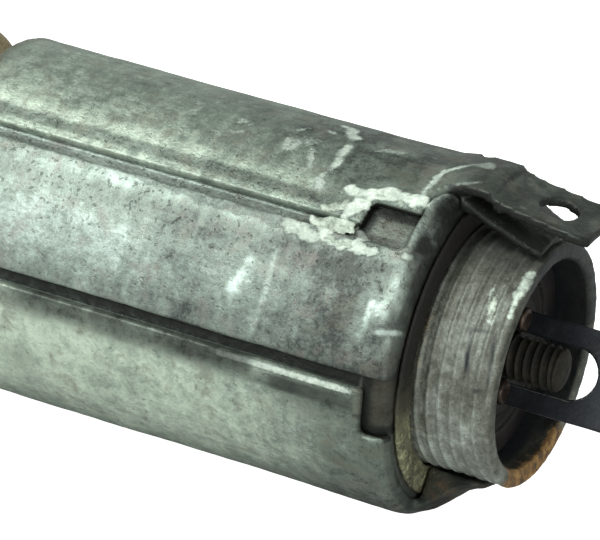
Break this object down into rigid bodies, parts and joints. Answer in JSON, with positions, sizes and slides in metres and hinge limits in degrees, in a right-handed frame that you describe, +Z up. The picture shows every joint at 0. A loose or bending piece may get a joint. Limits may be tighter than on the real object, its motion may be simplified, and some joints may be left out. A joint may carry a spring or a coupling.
{
  "type": "cigar lighter socket",
  "caption": "Round car accessory socket: a plug well with contact clips inside, a slotted clamping shell with earth tab, a threaded rear neck and a blade terminal.",
  "frame": {"origin": "on the socket's axis, in the plane of the bezel face that seats on the panel", "axes": "+X along the axis to the rear, where the wires go on; +Z up through the earth tab; +Y to the side away from the shell's opening"},
  "size_m": [0.0706, 0.0284, 0.0293],
  "materials": {
    "plated_brass": "worn plating with brass showing",
    "drawn_steel": "dull drawn steel",
    "neck_steel": "worn grey-brown steel thread",
    "phenolic": "brown phenolic",
    "rusty_steel": "rust-brown steel",
    "clip_brass": "tarnished brass",
    "black_terminal": "blackened steel",
    "rivet_brass": "tarnished brass",
    "bimetal": "heat-tinted strip",
    "cup_zinc": "weathered zinc plate, grey with pale oxide",
    "sleeve_zinc": "weathered zinc plate with pale green oxide and stains",
    "solder": "pale crusted solder",
    "ring_nut_zinc": "olive-brown passivated zinc"
  },
  "bodies": {
    "receptacle": {"bezel_ring": "plated_brass", "well_tube": "drawn_steel", "threaded_neck": "neck_steel", "floor_plate": "drawn_steel", "front_insulator": "phenolic", "rear_insulator": "phenolic", "contact_stud": "rusty_steel", "contact_plate": "clip_brass", "lock_washer": "rusty_steel", "stud_nut": "rusty_steel", "link_nut": "rusty_steel", "terminal_link": "clip_brass", "terminal_board": "phenolic", "blade_terminal": "black_terminal", "terminal_rivets": "rivet_brass"},
    "clamping_shell": {"clamp_cup": "cup_zinc", "outer_sleeve": "sleeve_zinc", "solder_fillet": "solder"},
    "clamping_nut": {"ring_nut": "ring_nut_zinc"},
    "clip_1": {"bimetal_clip_1": "bimetal"},
    "clip_2": {"bimetal_clip_2": "bimetal"},
    "clip_3": {"bimetal_clip_3": "bimetal"},
    "finger_1": {"earth_finger_1": "drawn_steel"},
    "finger_2": {"earth_finger_2": "drawn_steel"}
  },
  "joints": [
    {"name": "shell_slide", "type": "slide", "parent": "receptacle", "child": "clamping_shell", "axis": [1, 0, 0], "range_m": [-0.0042, 0.005]},
    {"name": "ring_nut_turn", "type": "hinge", "parent": "clamping_shell", "child": "clamping_nut", "pos_m": [0.046, 0, 0], "axis": [1, 0, 0], "range_deg": [-1513, 1801]},
    {"name": "clip_1_flex", "type": "hinge", "parent": "receptacle", "child": "clip_1", "pos_m": [0.0338, 0, 0.00795], "axis": [0, 1, 0], "range_deg": [0, 8], "stiffness_Nm_per_rad": 0.25},
    {"name": "clip_2_flex", "type": "hinge", "parent": "receptacle", "child": "clip_2", "pos_m": [0.0338, 0.00688, -0.00398], "axis": [0, -0.5, -0.866], "range_deg": [0, 8], "stiffness_Nm_per_rad": 0.25},
    {"name": "clip_3_flex", "type": "hinge", "parent": "receptacle", "child": "clip_3", "pos_m": [0.0338, -0.00688, -0.00398], "axis": [0, -0.5, 0.866], "range_deg": [0, 8], "stiffness_Nm_per_rad": 0.25},
    {"name": "finger_1_flex", "type": "hinge", "parent": "receptacle", "child": "finger_1", "pos_m": [0.0141, -0.01098, 0], "axis": [0, 0, -1], "range_deg": [0, 1.8], "stiffness_Nm_per_rad": 0.5},
    {"name": "finger_2_flex", "type": "hinge", "parent": "receptacle", "child": "finger_2", "pos_m": [0.0141, 0.01098, 0], "axis": [0, 0, 1], "range_deg": [0, 1.8], "stiffness_Nm_per_rad": 0.5}
  ],
  "couplings": [
    {"joint": "ring_nut_turn", "follows": "shell_slide", "rad_per_m": 6283.2}
  ]
}
